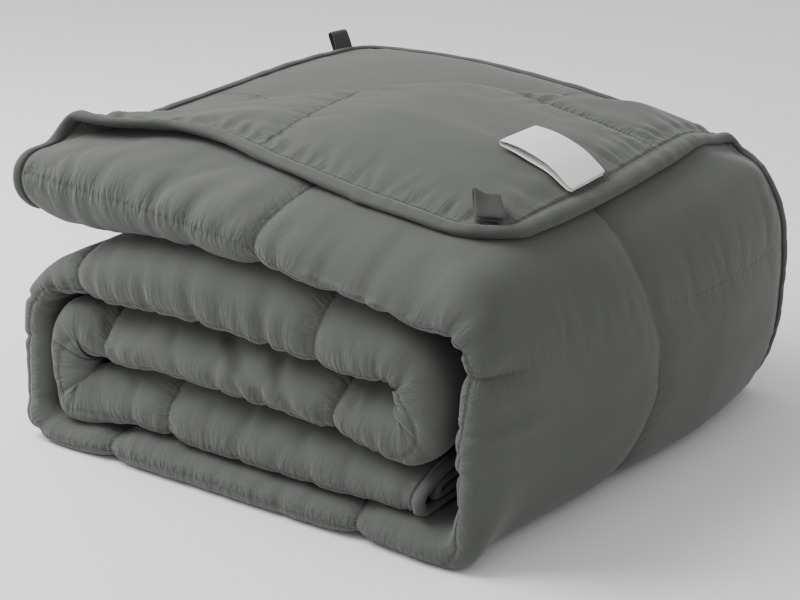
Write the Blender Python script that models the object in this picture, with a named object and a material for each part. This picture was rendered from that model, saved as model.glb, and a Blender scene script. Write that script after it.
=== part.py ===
"""Weighted blanket, quilted in square pockets, folded in quarters along its length and
then folded up into a block, with one corner of the top layer turned back.
Metres, +Z up, front of the block towards -Y, origin at the middle of the underside."""
import math

import bmesh
import bpy
import numpy as np
from mathutils import Vector

# ---- driving dimensions ---------------------------------------------------
POCKET_U = 0.2032            # pocket length along the blanket
POCKET_V = 0.1905            # pocket width across the blanket
POCKETS_U = 10
POCKETS_V = 8
LENGTH = POCKET_U * POCKETS_U
WIDTH = POCKET_V * POCKETS_V
PITCH = 0.010                # room one layer takes in the quarter fold
PUFFED = 0.0086              # layer thickness in the middle of a pocket
STITCHED = 0.0034            # layer thickness on a stitch line
EDGE_THICK = 0.0030          # layer thickness inside the edge binding
FRONT_Y = -0.1900            # front of the block, at the outer fold
BACK_Y = 0.1800
SETTLE = 0.0016              # the underside is pressed flat by this much
HEAVE = 0.0105               # the top level stands up at its back left corner
FULLNESS = 0.60              # below 1 the outer front folds are fuller than round
FRONT_DEPTH = 0.0120         # depth of the outer front folds
CORNER_R = 0.030             # rounded corners of the blanket
HEM = 0.0080                 # width of the flat edge under the binding
BIND_OUT = 0.0032            # how far the binding stands beyond the layer's edge
BIND_IN = 0.0068             # how far it covers the layer
BIND_HALF = 0.0030           # half its thickness
BIND_SLOT = 0.0020           # half its slot
LABEL_AT = 0.124             # middle of the label along the side edge
LABEL_WIDE = 0.046
LABEL_LONG = 0.052
LABEL_THICK = 0.0010
LOOP_WIDE = 0.015
LOOP_LONG = 0.026
LOOP_THICK = 0.0014
LAP = 0.0022                 # spacing of a loop's two legs where they start

# the turned-back corner: its fold runs from the end edge to the side edge
TURN_V = 0.330
TURN_U = 0.330
TURN_R = 0.0090
FLAP_LIFT = 0.0108           # how far the turned corner lies above the layer under it
EDGE_DROP = 0.0026           # its edges lie this much lower
ROLL_FLAT = 0.28             # the roll is flatter by this share at its left end
SLIP_U = 0.034               # the top layer has slid along the block
SLIP_V = 0.044               # and towards its front

# path of the fourfold strip through the block, millimetres, from its outer end to its
# inner end: pockets along, then x, z, room on the outer side and on the inner side,
# once at the front fold and once in the body of the block
PATH_COLUMNS = ("pockets", "fx", "fz", "fout", "fin", "bx", "bz", "bout", "bin")
PATH_ROWS = (
    # top level, free end at the left
    (0.00, -172, 174, 28, 11, -172, 187, 25, 21),
    (0.25, -124, 177, 31, 17, -124, 189, 26, 26),
    (0.60, -52, 177, 33, 17, -50, 190, 27, 27),
    (1.00, 30, 173, 35, 14, 30, 189, 27, 28),
    (1.25, 80, 166, 38, 12, 80, 185, 27, 28),
    (1.50, 124, 158, 39, 9, 122, 177, 27, 25),
    (1.68, 158, 151, 38, 7.5, 152, 167, 27, 20),
    # outer turn at the right
    (1.80, 178, 145, 31, 7, 172, 151, 27, 12),
    (1.90, 188, 134, 20, 8, 184, 134, 24, 11),
    (2.05, 191, 112, 16, 11.5, 190, 108, 20, 12.5),
    (2.25, 191, 84, 15, 12.5, 190, 80, 19, 14),
    (2.42, 190.5, 55, 14, 12.5, 189, 52, 18, 13),
    (2.52, 189, 32, 13, 10, 187, 32, 15, 10),
    (2.61, 181, 18, 15, 7.5, 179, 18.5, 16, 7.5),
    (2.69, 166, 14.6, 14, 10, 165, 15, 14.4, 10),
    # bottom level
    (2.76, 150, 14.6, 14, 13, 148, 15.0, 14.4, 13),
    (3.20, 72, 14.4, 13.9, 13.6, 72, 14.6, 14.1, 13.6),
    (3.80, -52, 14.4, 13.9, 13.6, -52, 14.6, 14.1, 13.6),
    (4.06, -102, 11.6, 11.1, 10.2, -102, 12.5, 12.0, 10.0),
    # outer turn at the left
    (4.22, -134, 11.5, 11, 7.0, -134, 12, 11.5, 7),
    (4.33, -152, 21, 15, 8, -152, 21, 15, 8),
    (4.42, -157, 40, 14.5, 10.5, -157, 40, 14.5, 10.5),
    (4.56, -157.5, 68, 14.5, 12.5, -158, 68, 14.5, 12.5),
    (4.72, -156, 93, 13.5, 10, -156, 93, 13.5, 10),
    (4.86, -144, 110, 13.5, 9.5, -144, 111, 13.5, 9.5),
    (5.00, -122, 121, 17, 15.5, -122, 122, 17, 15.5),
    # second level from the top
    (5.20, -90, 129, 21, 21, -90, 129, 21, 21),
    (5.50, -35, 134.5, 23, 23.5, -35, 134.5, 24, 23.5),
    (5.80, 26, 135, 22, 22, 26, 135, 23, 22),
    (6.05, 80, 131.5, 21, 21, 80, 132, 22.5, 21),
    (6.24, 116, 127, 20, 20.5, 116, 129, 21, 21),
    # inner turn at the right
    (6.36, 137, 122, 17.5, 14.5, 138, 122, 18, 15),
    (6.46, 151, 108, 18, 13.5, 152, 108, 18, 13.5),
    (6.56, 152, 91, 18, 13.5, 153, 92, 18, 13.5),
    (6.67, 139, 79.5, 17.5, 13.5, 140, 80, 17.5, 13.5),
    # third level
    (6.80, 116, 83, 18, 19.5, 116, 83, 18, 19.5),
    (7.00, 80, 88, 20.3, 21, 80, 88, 20, 21),
    (7.40, 8, 91.5, 19.5, 20, 8, 91.5, 19.5, 20),
    (7.75, -58, 92.3, 16.8, 17, -58, 92.3, 16.8, 17),
    (8.00, -98, 92.5, 13.2, 13.2, -98, 92.5, 13.2, 13.2),
    # inner turn at the left
    (8.15, -120, 88, 8.5, 12, -120, 88, 8.5, 12),
    (8.28, -130.5, 72, 10, 12.3, -130.5, 72, 10, 12.3),
    (8.42, -131, 50, 9.5, 12.3, -131, 50, 9.5, 12.3),
    (8.54, -124, 34, 9, 12, -124, 34, 9, 12),
    # fourth level, inner end at the right
    (8.68, -102, 38, 14, 14.8, -102, 38, 14, 14.8),
    (8.84, -71, 48.5, 24, 22, -71, 48.5, 24, 22),
    (9.00, -38, 52, 22.5, 22.5, -38, 52, 22.5, 22.5),
    (9.40, 42, 49.8, 19.3, 20.5, 42, 49.8, 19.3, 20.5),
    (9.75, 112, 46.5, 16.8, 17.5, 112, 46.5, 16.8, 17.5),
    (10.0, 158, 44.5, 13, 14.5, 158, 44.5, 13, 14.5),
)

# where the flat slab is cut, in pockets along and across: closer in the turns and folds
CUTS_ALONG = (
    0, 0.14, 0.5, 0.86, 1, 1.14, 1.5, 1.62, 1.72, 1.8, 1.88, 2, 2.2, 2.4, 2.5, 2.57, 2.64,
    2.74, 3, 3.5, 3.86, 4, 4.14, 4.24, 4.32, 4.4, 4.5, 4.66, 4.76, 4.86, 5, 5.14, 5.5,
    5.86, 6, 6.15, 6.28, 6.36, 6.43, 6.5, 6.57, 6.64, 6.74, 7, 7.14, 7.5, 7.86, 8, 8.1, 8.18,
    8.26, 8.34, 8.42, 8.5, 8.58, 8.68, 8.86, 9, 9.14, 9.5, 9.86, 10)
CUTS_ACROSS = (
    0, 0.14, 0.5, 0.86, 1, 1.14, 1.5, 1.76, 1.88, 1.945, 2, 2.055, 2.13, 2.234, 2.365, 2.6, 3,
    3.14, 3.5, 3.86, 3.96, 4, 4.04, 4.14, 4.5, 4.86, 5, 5.14, 5.5, 5.72, 5.86, 5.96, 6, 6.04,
    6.14, 6.28, 6.5, 6.86, 7, 7.14, 7.5, 7.86, 8)


def path_columns():
    rows = np.array([row for row in PATH_ROWS], dtype=float)
    rows[:, 0] *= POCKET_U
    rows[:, 1:] /= 1000.0
    return {name: rows[:, i] for i, name in enumerate(PATH_COLUMNS)}


PATH = path_columns()


def smooth(t):
    t = np.clip(t, 0.0, 1.0)
    return t * t * (3.0 - 2.0 * t)


def slopes(t, y):
    """Slopes of a curve through the rows that never overshoots them."""
    step = np.diff(t)
    rise = np.diff(y) / step
    out = np.empty_like(y)
    out[0] = rise[0]
    out[-1] = rise[-1]
    before, after = rise[:-1], rise[1:]
    out[1:-1] = (before * step[1:] + after * step[:-1]) / (step[1:] + step[:-1])
    return out


SLOPE = {name: slopes(PATH["pockets"], PATH[name]) for name in PATH_COLUMNS[1:]}


def along(name, u):
    """Value of one path column at a length u along the strip."""
    t, y, s = PATH["pockets"], PATH[name], SLOPE[name]
    i = np.clip(np.searchsorted(t, u, side="right") - 1, 0, len(t) - 2)
    h = t[i + 1] - t[i]
    f = np.clip((u - t[i]) / h, -0.2, 1.2)
    a = (1 + 2 * f) * (1 - f) ** 2
    b = f * (1 - f) ** 2
    c = f * f * (3 - 2 * f)
    d = f * f * (f - 1)
    return a * y[i] + b * h * s[i] + c * y[i + 1] + d * h * s[i + 1]


def puff(f):
    return 1.0 - np.abs(2.0 * (f - np.floor(f)) - 1.0) ** 4


def thickness(u, v):
    """Layer thickness: full in the pockets, thin on the stitch lines and at the edge."""
    full = (puff(u / POCKET_U) * puff(v / POCKET_V)) ** 0.6
    thick = STITCHED + (PUFFED - STITCHED) * full
    rim = np.minimum(np.minimum(u, LENGTH - u), np.minimum(v, WIDTH - v))
    hem = smooth((rim - HEM) / 0.014)
    return EDGE_THICK + (thick - EDGE_THICK) * hem


def section(v):
    """Quarter fold seen from the end: y and height, with the layer's own normal."""
    beyond = np.abs(v - np.clip(v, 0.0, WIDTH))
    v = np.clip(v, 0.0, WIDTH)
    big, small = 1.5 * PITCH, 0.5 * PITCH
    arc_big, arc_small = math.pi * big / 2, math.pi * small / 2
    front_c = FRONT_Y + 0.003 + FRONT_DEPTH
    back_c = BACK_Y
    quarter = 2 * POCKET_V
    knots = (0.0, quarter - arc_big, quarter + arc_big, 2 * quarter - arc_small,
             2 * quarter + arc_small, 3 * quarter - arc_small, 3 * quarter + arc_small,
             4 * quarter)
    top_edge = front_c + quarter - arc_big
    y = np.zeros_like(v)
    m = np.zeros_like(v)
    ny = np.zeros_like(v)
    nm = np.ones_like(v)

    def straight(lo, hi, y0, y1, height, face):
        pick = (v >= lo) & (v <= hi)
        f = (v[pick] - lo) / (hi - lo)
        y[pick] = y0 + (y1 - y0) * f
        m[pick] = height
        nm[pick] = face
        ny[pick] = 0.0

    def bend(lo, hi, centre_y, centre_m, radius, start, turn, face):
        pick = (v > lo) & (v < hi)
        a = start + turn * math.pi * (v[pick] - lo) / (hi - lo)
        full, deep = (FULLNESS, FRONT_DEPTH) if radius > PITCH else (1.0, radius)
        c, s = np.cos(a), np.sin(a)
        y[pick] = centre_y + deep * np.sign(c) * np.abs(c) ** full
        m[pick] = centre_m + radius * np.sign(s) * np.abs(s) ** full
        c = np.sign(c) * np.abs(c) ** (2 - full)
        s = np.sign(s) * np.abs(s) ** (2 - full)
        size = np.hypot(c, s)
        ny[pick] = face * c / size
        nm[pick] = face * s / size

    straight(knots[0], knots[1], top_edge, front_c, big, 1.0)
    straight(knots[2], knots[3], front_c, back_c, -big, -1.0)
    straight(knots[4], knots[5], back_c, front_c + 0.003, -small, 1.0)
    straight(knots[6], knots[7], front_c + 0.003, top_edge - 0.002, small, -1.0)
    bend(knots[1], knots[2], front_c, 0.0, big, math.pi / 2, 1.0, 1.0)
    bend(knots[3], knots[4], back_c, -PITCH, small, -math.pi / 2, 1.0, 1.0)
    bend(knots[5], knots[6], front_c + 0.003, 0.0, small, -math.pi / 2, -1.0, -1.0)
    return y + beyond, m, ny, nm


def at_path(name, u, body):
    return along("f" + name, u) * (1 - body) + along("b" + name, u) * body


def place(u, y, m):
    """Point of the strip: u along it, y in depth, m across its thickness."""
    body = smooth((y - FRONT_Y - 0.004) / 0.045)
    step = 0.0008
    x, z = at_path("x", u, body), at_path("z", u, body)
    tx = at_path("x", u + step, body) - at_path("x", u - step, body)
    tz = at_path("z", u + step, body) - at_path("z", u - step, body)
    size = np.hypot(tx, tz)
    tx, tz = tx / size, tz / size
    room = np.where(m > 0, at_path("out", u, body), at_path("in", u, body))
    room = room * (1 - 0.35 * smooth((y - 0.150) / 0.04) * (m > 0))
    reach = m * room / (2 * PITCH)
    px = x - tz * reach
    pz = z + tx * reach
    # the wrapped right side swells in the middle and draws in towards the back
    swell = smooth((px - 0.12) / 0.06) * (1 - ((y - 0.0) / 0.19) ** 2)
    y = y - 0.009 * smooth((0.045 - pz) / 0.04) * smooth((-0.12 - y) / 0.05)
    px = px + 0.004 * swell - 0.012 * smooth((px - 0.13) / 0.06) * smooth((y - 0.06) / 0.13)
    heave = smooth((y - 0.01) / 0.15) * (1 - smooth((px + 0.12) / 0.24)) * smooth((0.3 - u) / 0.2)
    pz = np.maximum(pz + HEAVE * heave - SETTLE, 0.0)
    return np.stack([px, y, pz], axis=-1)


def top_layer(u, v, lift):
    """The top layer with its slip; lift is measured off its middle, outwards."""
    free = 1 - smooth((u - 0.24) / 0.34)
    rise = 1 - smooth((v - 0.285) / 0.096)
    ue = u + SLIP_U * free * rise
    ve = v + SLIP_V * free * rise
    y, m, ny, nm = section(ve)
    return place(ue, y + ny * lift, m + nm * lift)


def rounded(u, v):
    """Pull the sharp corners of the flat blanket in to its corner radius."""
    cu = np.clip(u, CORNER_R, LENGTH - CORNER_R)
    cv = np.clip(v, CORNER_R, WIDTH - CORNER_R)
    du, dv = u - cu, v - cv
    big = np.maximum(np.abs(du), np.abs(dv))
    size = np.hypot(du, dv)
    scale = np.where(size > 1e-9, big / np.maximum(size, 1e-9), 1.0)
    both = (np.abs(du) > 1e-9) & (np.abs(dv) > 1e-9)
    scale = np.where(both, scale, 1.0)
    return cu + du * scale, cv + dv * scale


def blanket(u, v, w):
    """Map the flat blanket (u along, v across, w off its middle) into the block."""
    u, v, w = np.broadcast_arrays(np.asarray(u, float), np.asarray(v, float), np.asarray(w, float))
    quarter = 2 * POCKET_V
    flat = np.stack([u, v], axis=-1)
    run = np.array([TURN_U, -TURN_V])
    run = run / np.linalg.norm(run)
    away = np.array([run[1], -run[0]])
    d = (flat - np.array([0.0, TURN_V])) @ away
    half = math.pi * TURN_R
    angle = np.clip(d, 0.0, half) / TURN_R
    past = np.maximum(d - half, 0.0)
    foot = flat - np.maximum(d, 0.0)[..., None] * away
    shift = TURN_R * np.sin(angle) - past
    settle = smooth(past / 0.08)
    spot = (foot - np.array([0.0, TURN_V])) @ run
    ends = 1 - smooth(spot / 0.09)
    edges = 1 - smooth(np.minimum(u, v) / 0.05)
    high = TURN_R * (1 - np.cos(angle)) * (1 - ROLL_FLAT * ends)
    high = high * (1 - settle) + (FLAP_LIFT - EDGE_DROP * edges) * settle
    shift = np.where(d > 0, shift, 0.0)
    high = np.where(d > 0, high, 0.0)
    side = -w * np.sin(angle)
    moved = foot + (shift + side)[..., None] * away
    turned = top_layer(moved[..., 0], moved[..., 1], high + w * np.cos(angle))
    plain = top_layer(u, v, w)
    y, m, ny, nm = section(v)
    rest = place(u, y + ny * w, m + nm * w)
    first = (v < quarter)[..., None]
    fold = (d > 0)[..., None] & first
    return np.where(fold, turned, np.where(first, plain, rest))


def cuts(shares, size):
    """Cut positions in metres, with the inner edge of the binding added at both ends."""
    values = [size * share for share in shares]
    values += [HEM, values[-1] - HEM]
    return np.array(sorted(values))


def fold_cuts(bm):
    """Cut the flat slab along the lines on which the turned corner bends."""
    along = np.array([TURN_U, -TURN_V]) / math.hypot(TURN_U, TURN_V)
    away = Vector((along[1], -along[0], 0.0))
    for share in (0.0, 0.25, 0.5, 0.75, 1.0):
        near = [f for f in bm.faces if f.calc_center_median().y < 1.9 * POCKET_V
                and f.calc_center_median().x < 1.9 * POCKET_U]
        edges = {e for f in near for e in f.edges}
        verts = {v for f in near for v in f.verts}
        point = Vector((0.0, TURN_V, 0.0)) + away * (share * math.pi * TURN_R)
        bmesh.ops.bisect_plane(bm, geom=list(verts) + list(edges) + near, dist=1e-5,
                               plane_co=point, plane_no=away)


def slab(name, u, v):
    """Closed slab: made flat, cut, then carried into the block by the blanket's map."""
    bm = bmesh.new()
    tops = [[bm.verts.new((a, b, 1.0)) for b in v] for a in u]
    lows = [[bm.verts.new((a, b, -1.0)) for b in v] for a in u]
    nu, nv = len(u), len(v)
    for i in range(nu - 1):
        for j in range(nv - 1):
            bm.faces.new((tops[i][j], tops[i + 1][j], tops[i + 1][j + 1], tops[i][j + 1]))
            bm.faces.new((lows[i][j], lows[i][j + 1], lows[i + 1][j + 1], lows[i + 1][j]))
    rim = [(i, 0) for i in range(nu)] + [(nu - 1, j) for j in range(1, nv)]
    rim += [(i, nv - 1) for i in range(nu - 2, -1, -1)] + [(0, j) for j in range(nv - 2, 0, -1)]
    for a, b in zip(rim, rim[1:] + rim[:1]):
        bm.faces.new((lows[a[0]][a[1]], lows[b[0]][b[1]], tops[b[0]][b[1]], tops[a[0]][a[1]]))
    fold_cuts(bm)
    flat = np.array([p.co for p in bm.verts])
    ru, rv = rounded(flat[:, 0], flat[:, 1])
    half = thickness(flat[:, 0], flat[:, 1]) / 2
    for p, q in zip(bm.verts, blanket(ru, rv, half * flat[:, 2])):
        p.co = q
    return finish(name, bm)


def finish(name, bm):
    bmesh.ops.triangulate(bm, faces=bm.faces[:])
    if bm.calc_volume(signed=True) < 0:
        bmesh.ops.reverse_faces(bm, faces=bm.faces[:])
    mesh = bpy.data.meshes.new(name)
    bm.to_mesh(mesh)
    bm.free()
    obj = bpy.data.objects.new(name, mesh)
    bpy.context.scene.collection.objects.link(obj)
    return obj


def coat(obj, colour, rough):
    mat = bpy.data.materials.new(obj.name + " material")
    mat.use_nodes = True
    shader = mat.node_tree.nodes["Principled BSDF"]
    shader.inputs["Base Color"].default_value = (*colour, 1.0)
    shader.inputs["Roughness"].default_value = rough
    obj.data.materials.append(mat)


def rim_points(u, v):
    """Perimeter of the blanket: flat point and outward direction at each cut."""
    ring = [(a, 0.0) for a in u] + [(LENGTH, b) for b in v[1:]]
    ring += [(a, WIDTH) for a in u[-2::-1]] + [(0.0, b) for b in v[-2:0:-1]]
    flat = np.array(ring)
    ru, rv = rounded(flat[:, 0], flat[:, 1])
    flat = np.stack([ru, rv], axis=-1)
    run = np.roll(flat, -1, axis=0) - np.roll(flat, 1, axis=0)
    run = run / np.linalg.norm(run, axis=1)[:, None]
    return flat, np.stack([run[:, 1], -run[:, 0]], axis=-1)


def binding(name, u, v):
    """Edge binding folded over the layer's edge, all the way round."""
    flat, out = rim_points(u, v)
    o, i, h, s = BIND_OUT, -BIND_IN, BIND_HALF, BIND_SLOT
    profile = ((i, h * 0.9), (0.0, h), (o, 0.0), (0.0, -h), (i, -h * 0.9),
               (i, -s), (0.0006, -s), (0.0006, s), (i, s))
    bm = bmesh.new()
    rings = []
    for across, off in profile:
        rings.append([bm.verts.new((*p, off)) for p in flat + out * across])
    count = len(flat)
    for a in range(len(profile)):
        b = (a + 1) % len(profile)
        for k in range(count):
            n = (k + 1) % count
            bm.faces.new((rings[a][k], rings[b][k], rings[b][n], rings[a][n]))
    fold_cuts(bm)
    spots = np.array([p.co for p in bm.verts])
    for p, q in zip(bm.verts, blanket(spots[:, 0], spots[:, 1], spots[:, 2])):
        p.co = q
    return finish(name, bm)


def strip(name, path, across, thick, point):
    """Closed strip: path holds (length, lift) pairs, point places (length, side, lift)."""
    line = np.array(path)
    run = np.gradient(line, axis=0)
    run = run / np.linalg.norm(run, axis=1)[:, None]
    normal = np.stack([-run[:, 1], run[:, 0]], axis=-1) * thick / 2
    loop = np.concatenate([line + normal, (line - normal)[::-1]])
    bm = bmesh.new()
    rows = [[bm.verts.new(point(t, s, h)) for t, h in loop] for s in across]
    count, half = len(loop), len(line)
    for first, second in zip(rows, rows[1:]):
        for k in range(count):
            n = (k + 1) % count
            bm.faces.new((first[k], second[k], second[n], first[n]))
    for row in (rows[0], rows[-1]):
        for k in range(half - 1):
            bm.faces.new((row[k], row[k + 1], row[count - 2 - k], row[count - 1 - k]))
    bmesh.ops.recalc_face_normals(bm, faces=bm.faces[:])
    return finish(name, bm)


def hairpin(length, low, bow, rise, steps):
    """Side view of a flat loop: out along the bottom, round the end and back on top."""
    points = [(0.0, low)]
    points += [(length * k / steps, low + rise * (k / steps) ** 2) for k in range(1, steps)]
    tip = low + rise
    for k in range(5):
        a = -math.pi / 2 + math.pi * k / 4
        points.append((length + bow * math.cos(a), tip + bow + bow * math.sin(a)))
    for k in range(steps - 1, -1, -1):
        share = k / steps
        gap = 2 * bow * share ** 0.7 + LAP * (1 - share)
        points.append((length * share, low + rise * share ** 2 + gap))
    return points


def on_flap(base_u, base_v, turn, cloth):
    """Placing function on the turned corner's upper face."""
    cos, sin = math.cos(turn), math.sin(turn)

    def point(t, s, h):
        u = base_u + t * sin + s * cos
        v = base_v + t * cos - s * sin
        lift = thickness(np.array(u), np.array(v)) / 2 * cloth + h
        return tuple(blanket(u, v, -lift).reshape(3))

    return point


def behind_corner(t, s, h):
    """Placing function for the loop standing at the blanket's other end corner."""
    inset = CORNER_R * (1 - math.sqrt(0.5)) - (BIND_OUT + 0.0012) * math.sqrt(0.5)
    foot = Vector(tuple(blanket(inset, WIDTH - inset, 0.0).reshape(3)))
    up = Vector((-0.45, 0.35, 0.82)).normalized()
    side = Vector((0.72, 0.69, 0.10)).normalized()
    out = side.cross(up)
    return tuple(foot + up * t + side * s + out * (h - LOOP_THICK))


def centre(objects):
    """Put the origin at the middle of the underside of everything together."""
    spots = np.array([v.co for obj in objects for v in obj.data.vertices])
    low, high = spots.min(axis=0), spots.max(axis=0)
    shift = Vector((-(low[0] + high[0]) / 2, -(low[1] + high[1]) / 2, -low[2]))
    for obj in objects:
        for v in obj.data.vertices:
            v.co += shift
    print("moved by", [round(s, 5) for s in shift])


def main():
    for obj in list(bpy.data.objects):
        bpy.data.objects.remove(obj, do_unlink=True)
    u = cuts(CUTS_ALONG, POCKET_U)
    v = cuts(CUTS_ACROSS, POCKET_V)
    quilt = slab("quilted_layers", u, v)
    coat(quilt, (0.115, 0.118, 0.112), 0.9)
    edge = binding("edge_binding", u, v)
    coat(edge, (0.105, 0.108, 0.103), 0.85)
    sides = np.linspace(-LABEL_WIDE / 2, LABEL_WIDE / 2, 4)
    label = strip("care_label", hairpin(LABEL_LONG, 0.0018, 0.0028, 0.0008, 5), sides,
                  LABEL_THICK, on_flap(LABEL_AT, 0.0078, 0.21, 1.0))
    coat(label, (0.72, 0.72, 0.71), 0.7)
    sides = np.linspace(-LOOP_WIDE / 2, LOOP_WIDE / 2, 3)
    corner = strip("corner_loop", hairpin(LOOP_LONG, 0.0042, 0.0020, 0.0022, 3), sides,
                   LOOP_THICK, on_flap(0.0100, 0.0100, 0.785, 0.0))
    coat(corner, (0.105, 0.108, 0.103), 0.85)
    back = strip("back_loop", hairpin(LOOP_LONG * 0.7, 0.0, 0.0022, 0.0, 3), sides,
                 LOOP_THICK, behind_corner)
    coat(back, (0.105, 0.108, 0.103), 0.85)
    centre([quilt, edge, label, corner, back])


main()
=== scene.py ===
"""Weighted blanket folded into a block: quilted cover, bound edge, label and tie loops.
Metres, +Z up, front of the block towards -Y, origin at the middle of the underside.
The blanket is made flat, with u along its length and v across it, and a map then folds
it the way the solids are folded, with fuller folds, puckered seams and soft creases."""
import math

import bmesh
import bpy
import numpy as np
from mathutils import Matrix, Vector


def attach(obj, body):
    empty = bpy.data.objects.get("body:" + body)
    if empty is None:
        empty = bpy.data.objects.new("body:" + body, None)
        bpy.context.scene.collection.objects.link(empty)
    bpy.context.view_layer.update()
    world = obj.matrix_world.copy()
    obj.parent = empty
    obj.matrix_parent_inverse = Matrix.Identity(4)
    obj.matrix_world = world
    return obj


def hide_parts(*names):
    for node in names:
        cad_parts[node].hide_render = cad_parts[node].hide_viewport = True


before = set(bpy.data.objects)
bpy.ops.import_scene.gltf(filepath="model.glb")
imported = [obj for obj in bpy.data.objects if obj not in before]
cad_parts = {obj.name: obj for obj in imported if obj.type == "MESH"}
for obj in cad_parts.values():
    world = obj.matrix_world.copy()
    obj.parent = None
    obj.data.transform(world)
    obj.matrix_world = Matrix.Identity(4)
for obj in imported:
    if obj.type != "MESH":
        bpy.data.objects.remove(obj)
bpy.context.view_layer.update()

# ---- the blanket, flat ----
POCKET_U = 0.2032         # pocket along the blanket's length
POCKET_V = 0.1905         # and across it
LENGTH = POCKET_U * 10
WIDTH = POCKET_V * 8
QUARTER = 2 * POCKET_V    # the lengthwise fold that faces the front
PUFFED = 0.0088           # layer thickness in the middle of a pocket
STITCHED = 0.0030         # on a stitch line
EDGE_THICK = 0.0024       # and inside the edge binding
CORNER_R = 0.030          # rounded corners of the blanket
HEM = 0.0080              # width of the flat edge under the binding

# ---- the fold ----
MOVED = Vector((-0.01499, 0.00456, 0.0))  # from the path's frame to the block's middle
PITCH = 0.010             # room one layer takes in the quarter fold
FRONT_Y = -0.1900         # front of the block
NOSE_INSET = 0.003        # the outer folds stop this far behind it
BACK_Y = 0.1800           # where the folds at the back start to turn
EDGE_PAST_BACK = 0.0034   # the bound side edge of the top layer lies this far past it
SETTLE = 0.0016           # the underside is pressed flat by this much
FLOOR_GAP = 0.0001        # and then lies this high
HEAVE = 0.0105            # the top level stands up at its back left corner
SLIP_U = 0.006            # the top layer's slip at its free end, along the strip
SLIP_V = -0.004           # and across it
FRONT_GIVES = 0.045       # depth in which the front's path turns into the body's
FRONT_GIVES_MORE = 0.100  # and what the top level adds
SWELL = 0.004             # the wrapped right side swells in the middle
DRAWN_IN = 0.012          # and draws in towards the back
FOOT_FORWARD = 0.009      # the bottom level's front stands this far forward

# the turned corner: its fold runs from the end edge to the side edge
TURN_V = 0.352            # place of the fold on the end edge
TURN_U = 0.348            # and on the side edge
TURN_R = 0.0070           # radius of its roll
FLAP_LIFT = 0.0108        # height of the turned cloth's middle over the top layer's
EDGE_DROP = 0.0026        # less this along its bound edges
ROLL_LOW = 0.46           # height of its roll towards its ends
ROLL_END = 0.90           # and how far it stands up again at the open end
FLAP_SETTLE = 0.110       # the turned cloth lies flat this far from its roll
FLAP_SLIDE = 0.012        # how far the turned corner has slid to the right
FLAP_BACK = 0.009         # and towards the back
FLAP_BOW = 0.018          # how far its front edge bows back near the roll
FLAP_BOW_LIFT = 0.004     # how high it stands up there
BOW_AT = 0.245            # place of that bow along the end edge
BOW_WIDE = 0.060
BOW_REACH = 0.16          # and how far into the cloth it goes

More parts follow.
